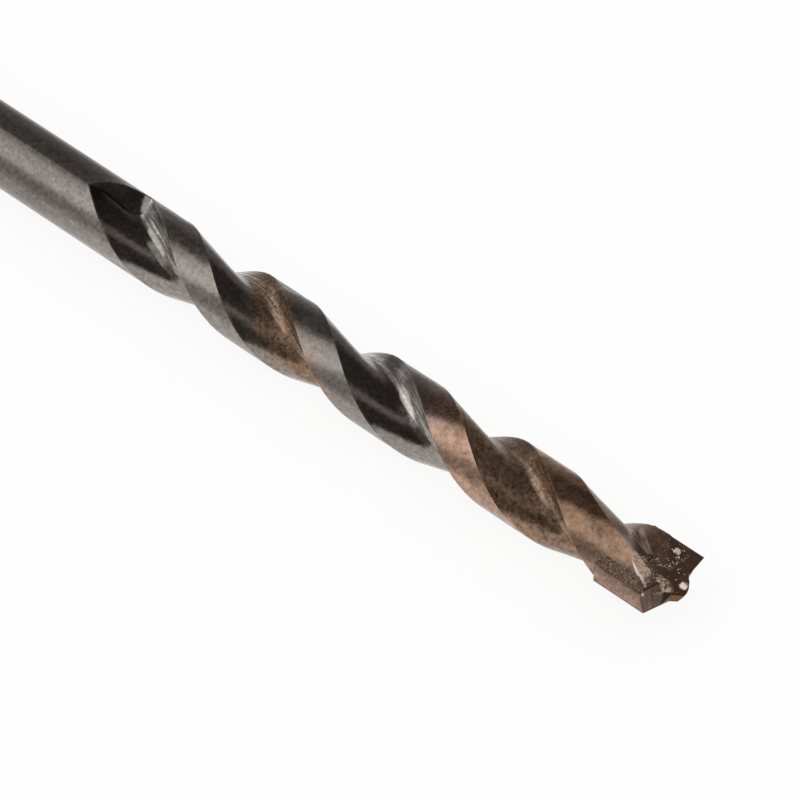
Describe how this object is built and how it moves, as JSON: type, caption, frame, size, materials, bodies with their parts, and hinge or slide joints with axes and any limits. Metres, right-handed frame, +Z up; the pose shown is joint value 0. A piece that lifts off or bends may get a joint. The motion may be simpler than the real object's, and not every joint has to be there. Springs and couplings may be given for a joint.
{
  "type": "masonry drill bit",
  "caption": "Masonry drill bit: plain round shank, right-hand spiral flutes and a carbide cutting plate with a raised centre point, brazed across the head.",
  "frame": {"origin": "centre of the shank's end face, on the bit's axis", "axes": "+X along the axis from the shank to the tip, +Z up as the bit lies on a flat surface, +Y to the side"},
  "size_m": [0.12, 0.01, 0.008],
  "materials": {
    "steel": "satin steel, darkened in the flutes and heat-tinted brown towards the head",
    "carbide": "sintered carbide, dark reddish brown with a dull sheen",
    "braze": "rough brazing metal, tarnished"
  },
  "bodies": {
    "root": {"steel_body": "steel", "carbide_tip": "carbide", "braze_joint": "braze"}
  },
  "joints": []
}
